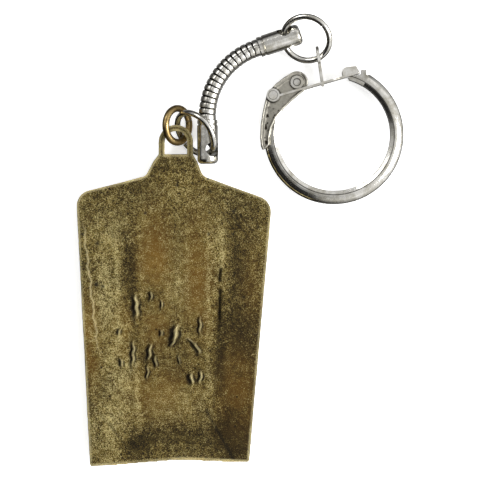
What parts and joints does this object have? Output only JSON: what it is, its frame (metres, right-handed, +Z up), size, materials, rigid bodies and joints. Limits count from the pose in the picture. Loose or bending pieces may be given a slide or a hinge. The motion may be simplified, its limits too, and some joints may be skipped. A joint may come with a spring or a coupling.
{
  "type": "keychain",
  "caption": "Cast brass fob with a cast eye, linked by jump rings and a short snake chain to a hinged key ring that an over-centre lever locks shut.",
  "frame": {"origin": "centre of the laid-out object's footprint, on the surface it lies on", "axes": "+Z up, out of the fob's plain back; +Y from the fob's bottom edge towards its eye; +X towards the key ring"},
  "size_m": [0.0656, 0.0904, 0.0087],
  "materials": {
    "cast_brass": "sand-cast brass, darkened in the pores and rubbed bright on the edges",
    "ring_brass": "drawn brass wire, worn smooth",
    "ring_steel": "nickel-plated steel wire, polished",
    "chain_steel": "nickel-plated formed strip, polished",
    "cap_steel": "nickel-plated turned cap, polished",
    "gate_steel": "nickel-plated strip, satin",
    "pin_steel": "steel pin, satin grey",
    "lever_steel": "nickel-plated pressed strip, satin",
    "rivet_steel": "tubular rivet, polished rim",
    "band_steel": "nickel-plated rolled channel, polished"
  },
  "bodies": {
    "fob": {"fob_casting": "cast_brass"},
    "brass_ring": {"brass_jump_ring": "ring_brass"},
    "lower_ring": {"lower_jump_ring": "ring_steel"},
    "lower_cap": {"lower_end_cap": "cap_steel", "chain_link_01": "chain_steel"},
    "link_02": {"chain_link_02": "chain_steel"},
    "link_03": {"chain_link_03": "chain_steel"},
    "link_04": {"chain_link_04": "chain_steel"},
    "link_05": {"chain_link_05": "chain_steel"},
    "link_06": {"chain_link_06": "chain_steel"},
    "link_07": {"chain_link_07": "chain_steel"},
    "link_08": {"chain_link_08": "chain_steel"},
    "link_09": {"chain_link_09": "chain_steel"},
    "link_10": {"chain_link_10": "chain_steel"},
    "link_11": {"chain_link_11": "chain_steel"},
    "link_12": {"chain_link_12": "chain_steel"},
    "link_13": {"chain_link_13": "chain_steel"},
    "link_14": {"chain_link_14": "chain_steel"},
    "link_15": {"chain_link_15": "chain_steel"},
    "link_16": {"chain_link_16": "chain_steel"},
    "upper_cap": {"chain_link_17": "chain_steel", "upper_end_cap": "cap_steel"},
    "upper_ring": {"upper_jump_ring": "ring_steel"},
    "gate": {"gate_bar": "gate_steel", "gate_eye": "gate_steel", "hinge_pin": "pin_steel"},
    "lever": {"key_ring_lever": "lever_steel", "lever_rivet": "rivet_steel"},
    "band": {"key_ring_band": "band_steel"}
  },
  "joints": [
    {"name": "brass_ring_in_eye", "type": "hinge", "parent": "fob", "child": "brass_ring", "pos_m": [-0.01291, 0.02256, 0.00355], "axis": [1, 0, 0], "range_deg": [-5, 30]},
    {"name": "lower_ring_on_brass_ring", "type": "hinge", "parent": "brass_ring", "child": "lower_ring", "pos_m": [-0.01078, 0.02081, 0.00179], "axis": [0.4591, 0.7464, -0.4819], "range_deg": [-6, 6]},
    {"name": "lower_cap_on_ring", "type": "hinge", "parent": "lower_ring", "child": "lower_cap", "pos_m": [-0.00628, 0.01752, 0.00368], "axis": [0.5715, 0.2296, 0.7878], "range_deg": [-15, 15]},
    {"name": "chain_bend_01", "type": "hinge", "parent": "lower_cap", "child": "link_02", "pos_m": [-0.00647, 0.0253, 0.00354], "axis": [0, 0, -1], "range_deg": [-7.5, 0.5]},
    {"name": "chain_bend_02", "type": "hinge", "parent": "link_02", "child": "link_03", "pos_m": [-0.0064, 0.02643, 0.00354], "axis": [0, 0, -1], "range_deg": [-7.5, 0.5]},
    {"name": "chain_bend_03", "type": "hinge", "parent": "link_03", "child": "link_04", "pos_m": [-0.00623, 0.02755, 0.00354], "axis": [0, 0, -1], "range_deg": [-7.5, 0.5]},
    {"name": "chain_bend_04", "type": "hinge", "parent": "link_04", "child": "link_05", "pos_m": [-0.00598, 0.02865, 0.00354], "axis": [0, 0, -1], "range_deg": [-7.5, 0.5]},
    {"name": "chain_bend_05", "type": "hinge", "parent": "link_05", "child": "link_06", "pos_m": [-0.00564, 0.02973, 0.00354], "axis": [0, 0, -1], "range_deg": [-7.5, 0.5]},
    {"name": "chain_bend_06", "type": "hinge", "parent": "link_06", "child": "link_07", "pos_m": [-0.00522, 0.03077, 0.00354], "axis": [0, 0, -1], "range_deg": [-7.5, 0.5]},
    {"name": "chain_bend_07", "type": "hinge", "parent": "link_07", "child": "link_08", "pos_m": [-0.00472, 0.03179, 0.00354], "axis": [0, 0, -1], "range_deg": [-7.5, 0.5]},
    {"name": "chain_bend_08", "type": "hinge", "parent": "link_08", "child": "link_09", "pos_m": [-0.00414, 0.03276, 0.00354], "axis": [0, 0, -1], "range_deg": [-7.5, 0.5]},
    {"name": "chain_bend_09", "type": "hinge", "parent": "link_09", "child": "link_10", "pos_m": [-0.00348, 0.03368, 0.00354], "axis": [0, 0, -1], "range_deg": [-7.5, 0.5]},
    {"name": "chain_bend_10", "type": "hinge", "parent": "link_10", "child": "link_11", "pos_m": [-0.00276, 0.03454, 0.00354], "axis": [0, 0, -1], "range_deg": [-7.5, 0.5]},
    {"name": "chain_bend_11", "type": "hinge", "parent": "link_11", "child": "link_12", "pos_m": [-0.00197, 0.03535, 0.00354], "axis": [0, 0, -1], "range_deg": [-7.5, 0.5]},
    {"name": "chain_bend_12", "type": "hinge", "parent": "link_12", "child": "link_13", "pos_m": [-0.00112, 0.03609, 0.00354], "axis": [0, 0, -1], "range_deg": [-7.5, 0.5]},
    {"name": "chain_bend_13", "type": "hinge", "parent": "link_13", "child": "link_14", "pos_m": [-0.00021, 0.03677, 0.00354], "axis": [0, 0, -1], "range_deg": [-7.5, 0.5]},
    {"name": "chain_bend_14", "type": "hinge", "parent": "link_14", "child": "link_15", "pos_m": [0.00075, 0.03737, 0.00354], "axis": [0, 0, -1], "range_deg": [-7.5, 0.5]},
    {"name": "chain_bend_15", "type": "hinge", "parent": "link_15", "child": "link_16", "pos_m": [0.00175, 0.03789, 0.00354], "axis": [0, 0, -1], "range_deg": [-7.5, 0.5]},
    {"name": "chain_bend_16", "type": "hinge", "parent": "link_16", "child": "upper_cap", "pos_m": [0.00279, 0.03834, 0.00354], "axis": [0, 0, -1], "range_deg": [-7.5, 0.5]},
    {"name": "upper_ring_in_cap", "type": "hinge", "parent": "upper_cap", "child": "upper_ring", "pos_m": [0.00877, 0.04048, 0.00364], "axis": [0.0756, -0.905, -0.4186], "range_deg": [-20, 20]},
    {"name": "gate_eye_on_ring", "type": "hinge", "parent": "upper_ring", "child": "gate", "pos_m": [0.01571, 0.03653, 0.00339], "axis": [0.8385, 0.3846, 0.386], "range_deg": [-20, 20]},
    {"name": "lever_swing", "type": "hinge", "parent": "gate", "child": "lever", "pos_m": [0.00667, 0.02907, 0.00285], "axis": [0, 0, -1], "range_deg": [0, 75]},
    {"name": "band_swing", "type": "hinge", "parent": "lever", "child": "band", "pos_m": [0.01145, 0.03167, 0.00285], "axis": [0, 0, 1], "range_deg": [0, 82.5]}
  ],
  "couplings": [
    {"joint": "band_swing", "follows": "lever_swing", "ratio": 1.1}
  ]
}
